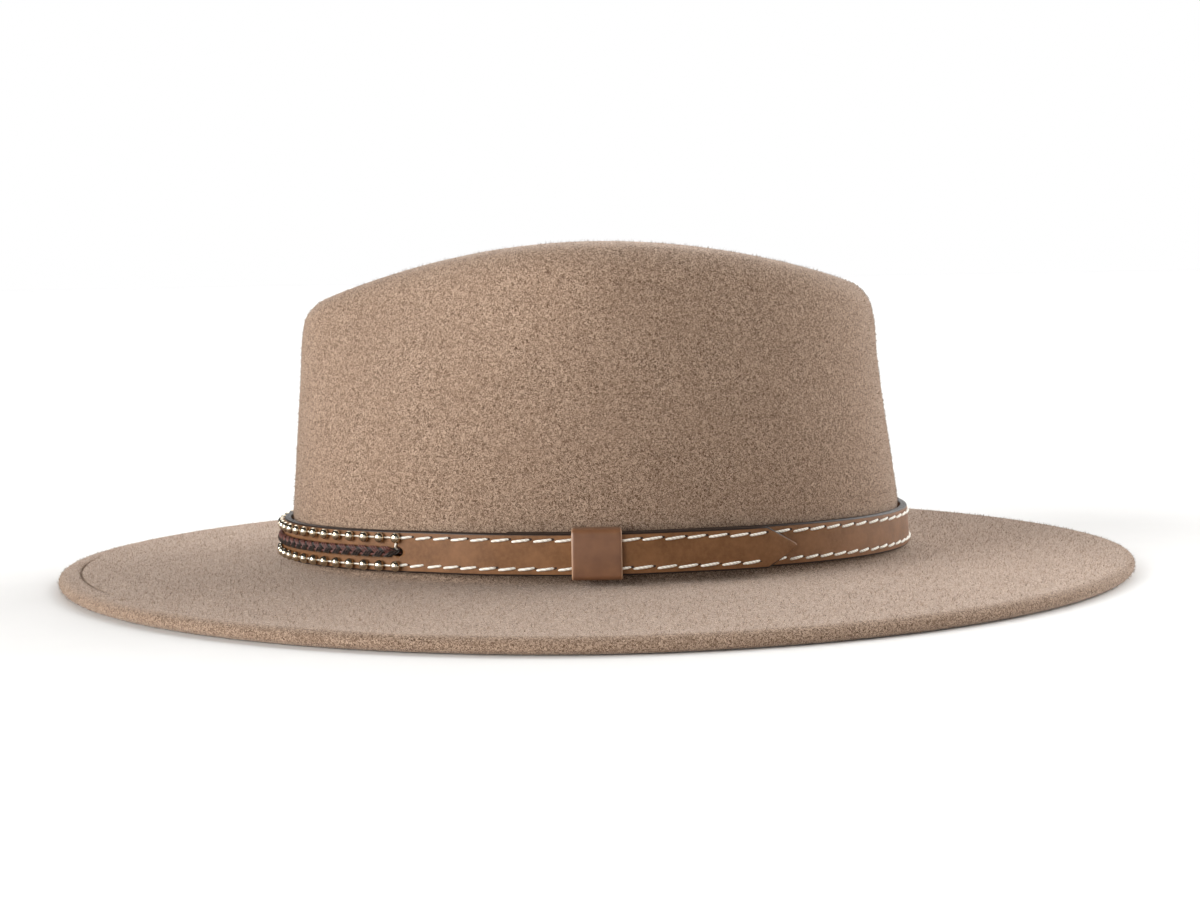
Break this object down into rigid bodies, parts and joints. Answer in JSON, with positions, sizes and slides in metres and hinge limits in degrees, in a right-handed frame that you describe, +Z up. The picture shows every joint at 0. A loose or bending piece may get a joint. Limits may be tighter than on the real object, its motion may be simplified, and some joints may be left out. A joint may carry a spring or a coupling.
{
  "type": "wide-brimmed felt hat with a leather hatband",
  "caption": "Wide, nearly flat brimmed felt hat with a pinched teardrop crown and a stitched, studded and braided leather hatband.",
  "frame": {"origin": "on the surface that the brim rests on, below the middle of the hat", "axes": "+Z up through the crown, -X towards the front of the hat, -Y towards the wearer's left side"},
  "size_m": [0.367, 0.336, 0.1115],
  "materials": {
    "felt": "short brushed nap, taupe",
    "strap_leather": "fine grain, semi-matt brown",
    "keeper_leather": "smooth, semi-matt reddish brown",
    "stud_metal": "polished nickel",
    "waxed_cord": "waxed, black and dark red strands"
  },
  "bodies": {
    "root": {"felt_body": "felt", "hatband_strap": "strap_leather", "keeper_loop": "keeper_leather", "stud_row_upper": "stud_metal", "stud_row_lower": "stud_metal", "front_braid": "waxed_cord"}
  },
  "joints": []
}
